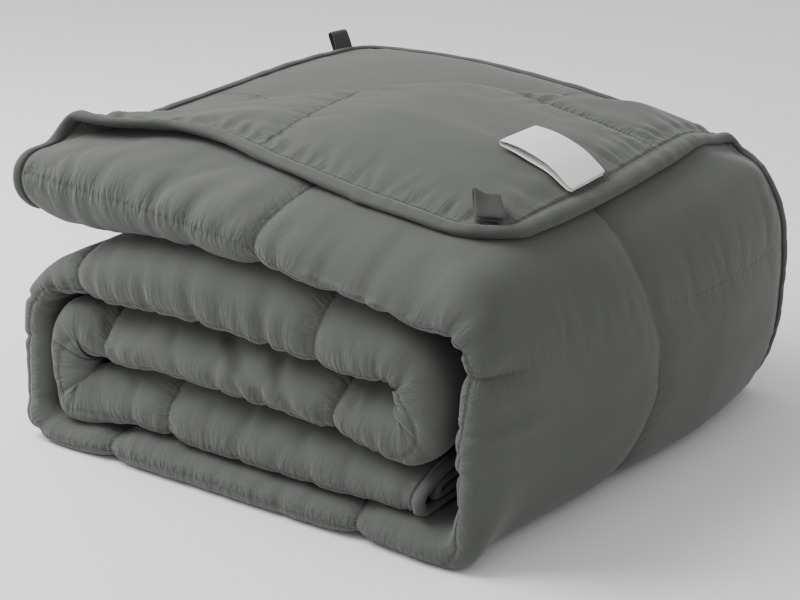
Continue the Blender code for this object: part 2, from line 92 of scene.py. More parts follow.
# path of the fourfold strip, seen from the front, for its front (f) and its body behind (b):
# pockets along it, then in millimetres its middle and the room on its outer and inner side
PATH_COLUMNS = ("pockets", "fx", "fz", "fout", "fin", "bx", "bz", "bout", "bin")
PATH_ROWS = (
    # top level, free end at the left
    (0.00, -172, 174, 24, 26, -172, 190, 25, 21),
    (0.25, -124, 174, 29, 35, -124, 192, 23, 26),
    (0.60, -52, 173, 27, 26, -50, 193, 22.5, 27),
    (1.00, 30, 168, 25, 23, 30, 190, 27, 28),
    (1.25, 80, 160, 29, 11, 80, 185, 27, 28),
    (1.50, 124, 153, 33, 9, 122, 177, 27, 25),
    (1.68, 158, 148, 35, 11, 152, 167, 27, 20),
    # outer turn at the right
    (1.80, 178, 145, 31, 7, 172, 151, 27, 12),
    (1.90, 188, 134, 20, 8, 184, 134, 24, 11),
    (2.05, 191, 112, 16, 11.5, 190, 108, 20, 12.5),
    (2.25, 191, 84, 15, 12.5, 190, 80, 19, 14),
    (2.42, 191, 55, 14, 11.5, 188, 53, 18, 13),
    (2.52, 190, 35, 14, 9, 184, 35, 15, 10),
    (2.61, 185, 19, 18, 6, 174, 20, 16, 7.5),
    (2.71, 168, 14.6, 15, 8, 155, 15, 14.4, 10),
    # bottom level
    (2.79, 152, 14.6, 14, 10, 139, 15.0, 14.4, 13),
    (3.23, 72, 14.4, 13.9, 8.0, 58, 14.6, 14.1, 13.6),
    (3.80, -52, 14.4, 13.9, 7.0, -56, 14.6, 14.1, 13.6),
    (4.06, -102, 11.6, 11.1, 10.2, -102, 12.5, 12.0, 10.0),
    # outer turn at the left
    (4.22, -138, 11.5, 11, 7.0, -138, 12, 11.5, 7),
    (4.33, -157, 21, 15, 8, -157, 21, 15, 8),
    (4.42, -162, 40, 14.5, 10.5, -162, 40, 14.5, 10.5),
    (4.56, -163, 68, 14.5, 12.5, -163, 68, 14.5, 12.5),
    (4.72, -161, 93, 13.5, 10, -161, 93, 13.5, 10),
    (4.86, -148, 110, 13.5, 9.5, -148, 111, 13.5, 9.5),
    (5.00, -122, 121, 17, 22, -122, 122, 17, 15.5),
    # second level from the top
    (5.20, -90, 129, 21, 30, -90, 129, 21, 21),
    (5.50, -33, 134.5, 23, 34, -33, 134.5, 24, 23.5),
    (5.80, 32, 131, 26, 34, 32, 135, 23, 22),
    (6.05, 88, 124, 29, 33, 88, 132, 22.5, 21),
    (6.24, 120, 121, 26, 26, 120, 129, 21, 21),
    # inner turn at the right
    (6.36, 138, 118, 20, 21, 139, 122, 18, 15),
    (6.46, 151, 107, 18, 23, 152, 108, 18, 13.5),
    (6.56, 154, 90, 18, 23, 153, 92, 18, 13.5),
    (6.67, 147, 74, 23, 24, 144, 80, 17.5, 13.5),
    # third level
    (6.80, 122, 76, 25, 20, 122, 83, 18, 19.5),
    (7.00, 90, 80, 26, 18, 90, 88, 20, 21),
    (7.40, 14, 84.5, 25, 19, 14, 91.5, 19.5, 20),
    (7.75, -55, 85.3, 23, 17, -55, 92.3, 16.8, 17),
    (8.00, -101, 84, 28, 20, -101, 92.5, 13.2, 13.2),
    # inner turn at the left
    (8.15, -127, 84, 29, 20, -127, 87, 8.5, 12),
    (8.28, -138, 70, 31, 15, -138, 71, 10, 12.3),
    (8.42, -138, 49, 31, 15, -138, 50, 9.5, 12.3),
    (8.54, -130, 35, 27, 15, -130, 35, 9, 12),
    # fourth level, inner end at the right
    (8.68, -106, 39, 31, 21, -106, 39, 14, 14.8),
    (8.84, -77, 46.5, 24, 24, -77, 48.5, 24, 22),
    (9.00, -45, 48, 22.5, 29, -45, 52, 22.5, 22.5),
    (9.40, 38, 45.8, 19.3, 26, 38, 49.8, 19.3, 20.5),
    (9.75, 112, 42.5, 16.8, 21, 112, 46.5, 16.8, 17.5),
    (10.0, 158, 41, 13, 17, 158, 44.5, 13, 14.5),
)

# nose of the front fold: lean is 1 where its lip is on the outer side and -1 where it is on
# the inner, its long and lip sides are millimetres deep, and a power below 1 is fuller
NOSE_COLUMNS = ("pockets", "lean", "long", "lip", "power")
NOSE_ROWS = (
    (0.00, 0.5, 30, 13, 1.00),
    (0.60, 0.1, 42, 14, 1.05),
    (0.97, -0.1, 46, 13, 1.05),
    (1.20, -0.9, 48, 12, 1.05),
    (1.60, -0.9, 44, 12, 1.00),
    (1.82, -0.2, 30, 12, 0.85),
    (1.98, 0.2, 26, 11, 0.80),
    (2.30, -0.4, 26, 11, 0.80),
    (2.52, -0.7, 26, 11, 0.80),
    (2.60, 0.3, 24, 11, 0.80),
    (2.68, 1.0, 22, 11, 0.85),
    (2.85, 0.8, 20, 11, 0.85),
    (3.10, 0.4, 20, 11, 0.85),
    (4.05, 0.25, 20, 11, 0.85),
    (4.30, 0.6, 20, 11, 0.75),
    (4.75, 0.0, 18, 12, 0.75),
    (5.10, -1.0, 38, 11, 1.00),
    (6.20, -1.0, 38, 11, 1.00),
    (6.38, -0.9, 24, 11, 0.85),
    (6.52, -0.45, 18, 11, 0.75),
    (6.64, 0.3, 18, 11, 0.75),
    (6.74, 0.9, 24, 11, 0.85),
    (6.85, 1.0, 38, 11, 1.20),
    (8.00, 1.0, 38, 11, 1.20),
    (8.15, 0.3, 20, 12, 0.80),
    (8.55, -0.3, 20, 12, 0.80),
    (8.85, -1.0, 38, 11, 1.15),
    (10.0, -1.0, 34, 11, 1.15),
)
# how far forward the middle seam of the wrapped side hangs, millimetres
SAG_COLUMNS = ("pockets", "forward")
SAG_ROWS = ((1.30, 0), (1.70, 30), (1.88, 26), (2.12, 6), (2.35, 4), (2.60, 18), (2.80, 0))
SEAM_SLIDE = 0.0095       # how far the seam lies off the nose, on its lip side
NOSE_DROOP = 0.0050       # how far the nose itself lies towards its lip side
ARC_PER_DEPTH = 0.75      # cloth that one side of a nose takes up, by its depth
ARC_EXTRA = 0.0135        # and besides
NOSE_HALF = 0.018         # half the height of a nose, for the direction it faces
INNER_DEPTH = 0.55        # the inner fold lies this share of a nose's depth behind it
INNER_LEAST = 0.016       # or at least this far


# ---- the map ----
def smooth(t):
    t = np.clip(t, 0.0, 1.0)
    return t * t * (3.0 - 2.0 * t)


def table(rows, columns, plain=()):
    """Columns by name: pockets become metres, millimetres too, and plain ones stay."""
    values = np.array(rows, dtype=float)
    values[:, 0] *= POCKET_U
    return {name: values[:, i] / (1.0 if i == 0 or name in plain else 1000.0)
            for i, name in enumerate(columns)}


def slopes(t, y):
    """Slopes at the rows of a smooth curve through them."""
    step = np.diff(t)
    rise = np.diff(y) / step
    out = np.empty_like(y)
    out[0] = rise[0]
    out[-1] = rise[-1]
    before, after = rise[:-1], rise[1:]
    out[1:-1] = (before * step[1:] + after * step[:-1]) / (step[1:] + step[:-1])
    return out


PATH = table(PATH_ROWS, PATH_COLUMNS)
SLOPE = {name: slopes(PATH["pockets"], PATH[name]) for name in PATH_COLUMNS[1:]}
NOSE = table(NOSE_ROWS, NOSE_COLUMNS, plain=("lean", "power"))
SAG = table(SAG_ROWS, SAG_COLUMNS)


def along(name, u):
    """Value of one path column at a length u along the strip, also a little past its ends."""
    t, y, s = PATH["pockets"], PATH[name], SLOPE[name]
    i = np.clip(np.searchsorted(t, u, side="right") - 1, 0, len(t) - 2)
    h = t[i + 1] - t[i]
    f = np.clip((u - t[i]) / h, -0.2, 1.2)
    a = (1 + 2 * f) * (1 - f) ** 2
    b = f * (1 - f) ** 2
    c = f * f * (3 - 2 * f)
    d = f * f * (f - 1)
    return a * y[i] + b * h * s[i] + c * y[i + 1] + d * h * s[i + 1]


def at_path(name, u, body):
    """Path value between the front's and the body's, which body shares out from 0 to 1."""
    return along("f" + name, u) * (1 - body) + along("b" + name, u) * body


def section(u, v, sag=1.0):
    """Quarter fold seen from the end: y and height, with the layer's own normal."""
    lean, long, lip, power = (np.interp(u, NOSE["pockets"], NOSE[name])
                              for name in NOSE_COLUMNS[1:])
    share = (lean + 1) / 2
    deep_out = long + (lip - long) * share
    deep_in = lip + (long - lip) * share
    near_nose = smooth((0.150 - np.abs(v - QUARTER)) / 0.10)
    middle = np.sin(math.pi * np.clip(v / QUARTER, 0.0, 1.0))
    ahead = np.interp(u, SAG["pockets"], SAG["forward"]) * middle
    beyond = np.abs(v - np.clip(v, 0.0, WIDTH))
    v = np.clip(v, 0.0, WIDTH) - SEAM_SLIDE * lean * near_nose + ahead * sag
    big, small = 1.5 * PITCH, 0.5 * PITCH
    arc_out = ARC_PER_DEPTH * deep_out + ARC_EXTRA
    arc_in = ARC_PER_DEPTH * deep_in + ARC_EXTRA
    arc_small = math.pi * small / 2
    front = FRONT_Y + NOSE_INSET
    inner_c = front + np.maximum(INNER_LEAST, INNER_DEPTH * deep_out)
    top_edge = BACK_Y + EDGE_PAST_BACK
    y = np.zeros_like(v)
    m = np.zeros_like(v)
    ny = np.zeros_like(v)
    nm = np.ones_like(v)

    def straight(lo, hi, y0, y1, height, face):
        f = (v - lo) / (hi - lo)
        pick = (v >= lo) & (v <= hi)
        y[pick] = (y0 + (y1 - y0) * f)[pick]
        m[pick] = height
        nm[pick] = face
        ny[pick] = 0.0

    def nose(lo, hi, deep, side):
        f = np.clip((v - lo) / (hi - lo), 0.0, 1.0)
        a = math.pi / 2 * (1 - f if side > 0 else f)
        c, s = np.cos(a), np.sin(a)
        pick = (v > lo) & (v < hi)
        y[pick] = (front + deep * (1 - c ** power))[pick]
        m[pick] = side * (big * s ** power)[pick]
        across, down = c ** (2 - power) / deep, s ** (2 - power) / NOSE_HALF
        size = np.hypot(across, down)
        ny[pick] = (-across / size)[pick]
        nm[pick] = side * (down / size)[pick]

    def turn(lo, hi, centre_y, centre_m, start, way, face):
        a = start + way * math.pi * (v - lo) / (hi - lo)
        pick = (v > lo) & (v < hi)
        y[pick] = (centre_y + small * np.cos(a))[pick]
        m[pick] = (centre_m + small * np.sin(a))[pick]
        ny[pick] = (face * np.cos(a))[pick]
        nm[pick] = (face * np.sin(a))[pick]

    half, three = 2 * QUARTER, 3 * QUARTER
    straight(0.0, QUARTER - arc_out, top_edge, front + deep_out, big, 1.0)
    straight(QUARTER + arc_in, half - arc_small, front + deep_in, BACK_Y, -big, -1.0)
    straight(half + arc_small, three - arc_small, BACK_Y, inner_c, -small, 1.0)
    straight(three + arc_small, WIDTH, inner_c, top_edge - 0.002, small, -1.0)
    # the two sides of the nose overlap by a hair, so that none misses the fold itself
    nose(QUARTER - arc_out, QUARTER, deep_out, 1)
    nose(QUARTER - 1e-7, QUARTER + arc_in, deep_in, -1)
    turn(half - arc_small, half + arc_small, BACK_Y, -PITCH, -math.pi / 2, 1.0, 1.0)
    turn(three - arc_small, three + arc_small, inner_c, 0.0, -math.pi / 2, -1.0, -1.0)
    return y + beyond, m, ny, nm


def place(u, y, m, off_y, off_m):
    """Point of the strip: u along it, y in depth, m across its thickness, then off it."""
    gives = FRONT_GIVES + FRONT_GIVES_MORE * (1 - smooth((u / POCKET_U - 1.55) / 0.35))
    body = smooth((y - FRONT_Y - 0.004) / gives)
    step = 0.0008                # how far on either side the path's direction is taken
    x, z = at_path("x", u, body), at_path("z", u, body)
    tx = at_path("x", u + step, body) - at_path("x", u - step, body)
    tz = at_path("z", u + step, body) - at_path("z", u - step, body)
    size = np.hypot(tx, tz)
    tx, tz = tx / size, tz / size
    lean = np.interp(u, NOSE["pockets"], NOSE["lean"])
    m = m + NOSE_DROOP * lean * np.clip(1 - (m / (1.5 * PITCH)) ** 2, 0.0, 1.0) * (1 - body)
    room = np.where(m > 0, at_path("out", u, body), at_path("in", u, body))
    # the outer side sinks at the back edge, most on the right of the top level
    far_right = smooth((x - 0.02) / 0.12) * (1 - smooth((u / POCKET_U - 1.66) / 0.14))
    at_back = smooth((y - 0.150 + 0.05 * far_right) / (0.04 + 0.035 * far_right))
    room = room * (1 - (0.35 + 0.30 * far_right) * at_back * (m > 0))
    # where the layers have too little room, all but the outermost faces are pressed
    tight = np.minimum(room / (2 * PITCH), 1.0)
    outside = smooth((np.abs(m) - 0.006) / 0.006) * (m * off_m > 0)
    reach = m * room / (2 * PITCH) + off_m * (tight + (1 - tight) * outside)
    px = x - tz * reach
    pz = z + tx * reach
    y = y + off_y
    swell = smooth((px - 0.12) / 0.06) * (1 - (y / 0.19) ** 2)
    y = y - FOOT_FORWARD * smooth((0.045 - pz) / 0.04) * smooth((-0.12 - y) / 0.05)
    drawn_in = DRAWN_IN * smooth((px - 0.13) / 0.06) * smooth((y - 0.06) / 0.13)
    px = px + SWELL * swell - drawn_in
    heave = smooth((y + 0.08) / 0.20) * (1 - smooth((px + 0.12) / 0.24)) * smooth((0.3 - u) / 0.2)
    pz = np.maximum(pz + HEAVE * heave - SETTLE, 0.0)
    return np.stack([px + MOVED.x, y + MOVED.y, pz], axis=-1)


def top_layer(u, v, lift, sag=1.0):
    """The top layer with its slip; lift is measured off its middle, outwards."""
    free = 1 - smooth((u - 0.08) / 0.25)
    rise = 1 - smooth((v - 0.285) / 0.096)
    u = u + SLIP_U * free * rise
    y, m, ny, nm = section(u, v + SLIP_V * free * rise, sag)
    return place(u, y, m, ny * lift, nm * lift)


def rounded(u, v):
    """Pull the sharp corners of the flat blanket in to its corner radius."""
    cu = np.clip(u, CORNER_R, LENGTH - CORNER_R)
    cv = np.clip(v, CORNER_R, WIDTH - CORNER_R)
    du, dv = u - cu, v - cv
    big = np.maximum(np.abs(du), np.abs(dv))
    size = np.hypot(du, dv)
    both = (np.abs(du) > 1e-9) & (np.abs(dv) > 1e-9)
    scale = np.where(both, big / np.maximum(size, 1e-9), 1.0)
    return cu + du * scale, cv + dv * scale


FOLD_RUN = np.array([TURN_U, -TURN_V]) / math.hypot(TURN_U, TURN_V)
FOLD_AWAY = np.array([FOLD_RUN[1], -FOLD_RUN[0]])


def past_fold(u, v):
    """Distance beyond the turned corner's fold line, on the flat blanket."""
    return u * FOLD_AWAY[0] + (v - TURN_V) * FOLD_AWAY[1]


def blanket(u, v, w):
    """Map the flat blanket (u along, v across, w off its middle) into the block."""
    u, v, w = np.broadcast_arrays(np.asarray(u, float), np.asarray(v, float), np.asarray(w, float))
    flat = np.stack([u, v], axis=-1)
    d = past_fold(u, v)
    half = math.pi * TURN_R
    angle = np.clip(d, 0.0, half) / TURN_R
    past = np.maximum(d - half, 0.0)
    foot = flat - np.maximum(d, 0.0)[..., None] * FOLD_AWAY
    shift = TURN_R * np.sin(angle) - past
    settle = smooth(past / FLAP_SETTLE)
    # the roll is highest in its middle and at its open end
    spot = (foot - np.array([0.0, TURN_V])) @ FOLD_RUN
    crown = np.sin(math.pi * np.clip(spot / math.hypot(TURN_U, TURN_V), 0.0, 1.0)) ** 6
    crown = ROLL_LOW + (1 - ROLL_LOW) * crown + ROLL_END * (1 - smooth(spot / 0.085))
    edges = 1 - smooth(np.minimum(u, v) / 0.05)
    high = TURN_R * (1 - np.cos(angle)) * crown
    high = high * (1 - settle) + (FLAP_LIFT - EDGE_DROP * edges) * settle
    shift = np.where(d > 0, shift, 0.0)
    high = np.where(d > 0, high, 0.0)
    side = -w * np.sin(angle)
    moved = foot + (shift + side)[..., None] * FOLD_AWAY
    moved[..., 0] += FLAP_SLIDE * smooth(past / 0.20)
    bow = np.exp(-((v - BOW_AT) / BOW_WIDE) ** 2) * (1 - smooth(u / BOW_REACH))
    high = high + FLAP_BOW_LIFT * bow * smooth(past / 0.04)
    moved[..., 1] -= FLAP_BACK * smooth(past / 0.13) + FLAP_BOW * bow * smooth(past / 0.05)
    turned = top_layer(moved[..., 0], moved[..., 1], high + w * np.cos(angle), 0.0)
    plain = top_layer(u, v, w)
    y, m, ny, nm = section(u, v)
    rest = place(u, y, m, ny * w, nm * w)
    first = (v < QUARTER)[..., None]
    fold = (d > 0)[..., None] & first
    return np.where(fold, turned, np.where(first, plain, rest))


# ---- relief of the quilting ----
def chance(i, j, seed):
    """A repeatable number from 0 to 1 for each whole-number place."""
    n = np.sin(i * 127.1 + j * 311.7 + seed * 74.7) * 43758.5453
    return n - np.floor(n)


def ripple(a, b, seed):
    """Smooth uneven waves, about -1 to 1, one wave to two units of a and b."""
    i, j = np.floor(a), np.floor(b)
    f, g = a - i, b - j
    f, g = f * f * (3 - 2 * f), g * g * (3 - 2 * g)
    low = chance(i, j, seed) * (1 - f) + chance(i + 1, j, seed) * f
    high = chance(i, j + 1, seed) * (1 - f) + chance(i + 1, j + 1, seed) * f
    return 2 * (low * (1 - g) + high * g) - 1


def off_seam(t, pocket):
    """Distance to the nearest stitch line."""
    share = t / pocket
    return np.abs(share - np.round(share)) * pocket


def from_edge(u, v):
    """Distance to the nearest edge of the flat blanket."""
    return np.minimum(np.minimum(u, LENGTH - u), np.minimum(v, WIDTH - v))


def on_nose(v):
    """1 on the front fold, and 0 from 7 cm away."""
    return smooth((0.070 - np.abs(v - QUARTER)) / 0.04)


def shows(u, v):
    """How much a stitch line shows: the tight side face has pulled one of them nearly flat."""
    side_face = smooth((0.30 - np.abs(u / POCKET_U - 2)) / 0.1) * smooth((QUARTER - 0.022 - v) / 0.030)
    behind = smooth((POCKET_V - 0.010 - v) / 0.030)
    return 1 - (0.88 - 0.26 * behind) * side_face


def thickness(u, v):
    """Layer thickness: full in the pockets, thin on the stitch lines and at the edge."""
    du, dv = off_seam(u, POCKET_U), off_seam(v, POCKET_V)
    # part of the rise is steep, close by the stitches, and part runs on into the pocket
    rise_u = 0.55 * (1 - np.exp(-du / 0.007)) + 0.45 * (1 - np.exp(-du / 0.034))
    rise_v = 0.55 * (1 - np.exp(-dv / 0.007)) + 0.45 * (1 - np.exp(-dv / 0.034))
    rise_u = 1 - (1 - rise_u) * shows(u, v)
    thick = STITCHED + (PUFFED - STITCHED) * rise_u * rise_v
    return EDGE_THICK + (thick - EDGE_THICK) * smooth((from_edge(u, v) - HEM) / 0.012)


def gather(off, run, seed, pitch, reach, wide):
    """Uneven creases square to a stitch line: off is the distance from it, run the length
    along it, and each crease is about reach long and wide across."""
    cell = np.floor(run / pitch)
    total = np.zeros_like(off)
    for k in (-1, 0, 1):
        i = cell + k
        middle = (i + 0.5 + 0.8 * (chance(i, 0, seed) - 0.5)) * pitch
        slant = 0.9 * (chance(i, 0, seed + 1) - 0.5)
        size = 0.25 + 1.1 * chance(i, 0, seed + 2) ** 1.6
        long = reach * (0.5 + chance(i, 0, seed + 3))
        near = (run - middle - slant * off) / (wide * (0.7 + 0.6 * off / reach))
        valley = np.exp(-near ** 2) - 0.22 * np.exp(-((np.abs(near) - 2.2) / 1.4) ** 2)
        total += size * valley * np.exp(-(off / long) ** 1.5)
    return -total * (1 - 0.6 * np.exp(-off / 0.0025))


# listed creases: depth and width in millimetres, then points as pockets along the
# blanket and millimetres off its middle seam
CREASES = (
    # outer turn at the left
    (2.4, 2.6, (4.72, -16), (4.79, 22)), (1.7, 2.6, (4.56, -12), (4.60, 18)),
    (1.7, 2.6, (4.37, -8), (4.36, 22)), (2.4, 2.6, (4.30, -12), (4.26, 22)),
    # lip and slope of the top level
    (2.4, 3.2, (0.70, 30), (0.715, 2)), (1.6, 3.0, (0.33, 26), (0.34, 2)),
    (1.6, 3.0, (0.52, 28), (0.53, 4)), (2.4, 3.4, (1.32, 24), (1.317, -16)),
    (1.8, 3.2, (1.13, 24), (1.135, -8)), (1.8, 3.2, (1.55, 22), (1.56, -12)),
    (3.0, 3.2, (1.88, 18), (1.93, -12)), (1.1, 4.0, (0.17, -8), (0.236, -30)),
    (1.4, 4.5, (0.372, -8), (0.413, -48)), (1.5, 4.5, (0.50, -6), (0.549, -44)),
    (1.7, 4.8, (0.596, -8), (0.66, -40), (0.72, -58)), (1.4, 4.5, (0.744, -4), (0.809, -44)),
    (1.3, 4.2, (0.88, -4), (0.939, -36)), (0.9, 5.0, (1.10, -26), (1.228, -38)),
    (1.6, 4.5, (1.264, -8), (1.281, -44)), (1.5, 4.5, (1.453, -10), (1.46, -46)),
    (1.4, 4.5, (1.624, -12), (1.654, -42)),
    # second level
    (1.7, 2.8, (4.84, 22), (4.92, -20)), (1.4, 3.0, (5.09, 10), (5.104, -16)),
    (1.9, 3.2, (5.364, 8), (5.352, -18)), (1.9, 3.2, (5.571, 10), (5.565, -16)),
    (1.3, 3.0, (5.707, 10), (5.70, -14)), (2.1, 3.4, (5.831, 10), (5.835, -28)),
    (1.6, 3.0, (6.27, 14), (6.262, -10)),
    # inner turn at the right
    (1.8, 2.6, (6.40, 20), (6.44, -6)), (1.8, 2.6, (6.57, 20), (6.60, -4)),
    # third level
    (3.6, 3.6, (7.50, 36), (7.33, 13), (7.23, -6)), (3.4, 3.6, (7.27, 32), (7.13, -4)),
    (2.0, 2.6, (8.02, 26), (7.90, 0)), (1.6, 3.2, (7.70, 30), (7.62, 2)),
    (1.5, 3.2, (6.92, 26), (6.86, 2)),
    # inner turn at the left
    (2.0, 2.6, (8.285, 6), (8.27, -26)), (1.7, 2.6, (8.50, 6), (8.47, -18)),
    (2.0, 2.8, (8.39, -40), (8.58, -10)),
    # fourth level
    (1.4, 3.0, (8.84, -26), (8.85, -2)), (1.5, 3.0, (9.17, -26), (9.18, -4)),
    (1.5, 3.2, (9.30, -30), (9.32, -6)), (1.4, 3.0, (9.516, -28), (9.53, -6)),
    (1.4, 3.0, (9.69, -30), (9.71, -6)),
    # tight side and bottom level
    (1.8, 3.0, (2.40, 14), (2.392, -26)), (1.8, 3.0, (2.52, 6), (2.53, -24)),
    (1.3, 3.0, (3.30, 12), (3.31, -10)), (1.3, 3.0, (3.62, 12), (3.64, -8)),
    (1.2, 3.0, (2.22, 10), (2.225, -14)),
)


def creased(u, v):
    """Listed creases: a valley along each line, sharp where it starts and soft at its end."""
    total = np.zeros_like(u)
    for deep, wide, *points in CREASES:
        line = np.array(points) * (POCKET_U, 0.001) + (0.0, QUARTER)
        near = (np.abs(u - line[:, 0].mean()) < 0.09) & (np.abs(v - line[:, 1].mean()) < 0.09)
        off = np.full(near.sum(), 9.0)
        done = np.zeros_like(off)
        for k, (a, b) in enumerate(zip(line[:-1], line[1:])):
            way = b - a
            x, y = u[near] - a[0], v[near] - a[1]
            f = np.clip((x * way[0] + y * way[1]) / (way @ way), 0.0, 1.0)
            away = np.hypot(x - f * way[0], y - f * way[1])
            done = np.where(away < off, (k + f) / (len(line) - 1), done)
            off = np.minimum(off, away)
        off = off / (wide / 1000 * (1 + 0.9 * done))
        valley = np.exp(-off ** 2) - 0.12 * np.exp(-((off - 2.3) / 1.5) ** 2)
        total[near] -= deep / 1000 * (1 - 0.7 * done) * valley
    return total


def dent(u, v):
    """How far the whole layer is pressed in from its outer face, by the seams and creases."""
    du, dv = off_seam(u, POCKET_U), off_seam(v, POCKET_V)
    pinch = 0.0020 * np.exp(-du / 0.010) + 0.0012 * np.exp(-du / 0.004)
    pinch = pinch * smooth((0.055 - np.abs(v - QUARTER)) / 0.03)
    valley = np.exp(-du / 0.007) * shows(u, v) + np.exp(-dv / 0.007) * (1 - on_nose(v))
    # the turned corner shows its other face, so there the valleys go the other way
    facing = 1 - 2 * smooth(past_fold(u, v) / 0.02 + 0.5) * (u < TURN_U) * (v < TURN_V)
    free = smooth((from_edge(u, v) - 0.010) / 0.02)
    return (creased(u, v) - pinch - 0.0012 * valley * facing) * free


def relief(u, v, side):
    """Height of puckers and soft waves along the cover's own normal: side is 1 on its outer
    face, and -1 on the other, which the turned corner shows."""
    other_face = side < 0
    seed = 11 + 17 * other_face
    line_u, line_v = np.round(u / POCKET_U), np.round(v / POCKET_V)
    du, dv = off_seam(u, POCKET_U), off_seam(v, POCKET_V)
    rim = from_edge(u, v)
    pockets = u / POCKET_U
    on_turn = smooth((pockets - 4.05) / 0.1) * smooth((4.85 - pockets) / 0.1)
    outer = (side > 0) * on_nose(v) * (1 - 0.8 * on_turn)
    tight = smooth((pockets - 1.6) / 0.15) * smooth((2.7 - pockets) / 0.15)
    tight = tight * smooth((QUARTER - 0.05 - v) / 0.04)

    # puckers beside the stitch lines, which die out where two lines cross
    beside_u = gather(du, v + 3.1 * line_u, seed, 0.017, 0.017, 0.0030)
    beside_u = beside_u * (1 - np.exp(-dv / 0.004))
    beside_v = gather(dv, u + 2.3 * line_v, seed + 1, 0.016, 0.022, 0.0038)
    beside_v = beside_v * (1 - np.exp(-du / 0.004))
    beside_v = beside_v * (1 - 0.6 * on_turn) * (1 - 0.9 * tight)
    # puckers beside the binding
    along_rim = np.where(np.minimum(u, LENGTH - u) < np.minimum(v, WIDTH - v), v, u)
    beside_rim = gather(np.maximum(rim - HEM, 0.0), along_rim, seed + 2, 0.012, 0.014, 0.0026)
    # long pulls across the flattened line on the right side
    streaks = gather(du, v, seed + 4, 0.015, 0.040, 0.0042) * (1 - shows(u, v))
    streaks = streaks * smooth((0.175 - v) / 0.02) * smooth((pockets - 1.80) / 0.12)
    # soft waves in the pockets, and lobes round the front folds
    waves = 0.9 * ripple(u / 0.045, v / 0.045, seed + 7)
    waves = waves + 0.45 * ripple(u / 0.015, v / 0.024, seed + 9)
    lobes = ripple(u / 0.020, v / 0.06, seed + 12)
    inside = smooth(np.minimum(du, dv) / 0.03)

    tall = (0.0008 * beside_u + 0.0009 * beside_v) * (1 + 0.8 * other_face)
    tall = tall + 0.0005 * outer * beside_v + 0.0009 * streaks
    tall = tall + (0.0014 + 0.0012 * other_face) * beside_rim
    tall = tall + (0.0008 + 0.0009 * outer) * waves * inside + 0.0008 * lobes * outer
    return np.maximum(tall, -0.40 * thickness(u, v)) * smooth((rim - 0.004) / 0.006)


# ---- making pieces ----
def add_piece(name, bm):
    """Make the bmesh an object of the scene, at the origin."""
    mesh = bpy.data.meshes.new(name)
    bm.to_mesh(mesh)
    bm.free()
    obj = bpy.data.objects.new(name, mesh)
    bpy.context.scene.collection.objects.link(obj)
    return obj


def vectors(items, field):
    """One row for each item's place or direction."""
    values = np.empty(len(items) * 3)
    items.foreach_get(field, values)
    return values.reshape(-1, 3)


def set_points(mesh, points):
    mesh.vertices.foreach_set("co", np.ascontiguousarray(points, dtype=np.float32).ravel())
    mesh.update()


def shade_smooth(mesh):
    mesh.polygons.foreach_set("use_smooth", np.ones(len(mesh.polygons), dtype=bool))


def keep_flat_place(mesh, flat):
    """UV map in metres of the flat cloth, so stitches and weave follow the fabric."""
    layer = mesh.uv_layers.new(name="flat")
    corner = np.empty(len(mesh.loops), dtype=np.int32)
    mesh.loops.foreach_get("vertex_index", corner)
    layer.data.foreach_set("uv", flat[corner].astype(np.float32).ravel())


def graded(spans):
    """Cut positions from 0 on: each span says where it ends and how far apart its cuts are."""
    cuts = [0.0]
    start = 0
    for end, step in spans:
        count = max(1, round((end - start) / step))
        cuts += [start + (end - start) * (k + 1) / count for k in range(count)]
        start = end
    return np.array(cuts)


# first cuts of the sheet: closer where the strip turns, and closest at the tight inner folds
PLAIN_CUT = 0.0226
TURN_CUT = 0.0114
TIGHT_CUT = 0.0044
SPANS_U = (
    (HEM, HEM), (0.855, PLAIN_CUT), (1.015, TURN_CUT), (1.290, PLAIN_CUT), (1.390, TURN_CUT),
    (1.650, PLAIN_CUT), (1.770, TURN_CUT), (LENGTH - HEM, PLAIN_CUT), (LENGTH, HEM),
)
SPANS_V = (
    (HEM, HEM), (0.330, 0.0200), (0.435, 0.0190), (0.738, 0.0300), (0.786, TIGHT_CUT),
    (1.120, 0.0300), (1.166, TIGHT_CUT), (WIDTH - HEM, 0.0200), (WIDTH, HEM),
)


def in_view(u, v, side):
    """How often a place is halved again: 3 where the cover shows, less where little does."""
    d = past_fold(u, v)
    if u < 0.56 and v < 0.44:
        if not (side > 0 and d < 0.030) and not (side < 0 and d > -0.020):
            return 1
        plain = u > 0.40 and v < 0.31 and abs(v - POCKET_V) > 0.024
        return 2 if plain else 3
    if 0.325 < v < 0.44:
        return 3 if side > 0 else 1
    if side > 0 and v < 0.33 and 0.84 < u < 1.06:
        return 2
    if side < 0 and v > 1.14 and u < 0.40:
        return 1
    return 0


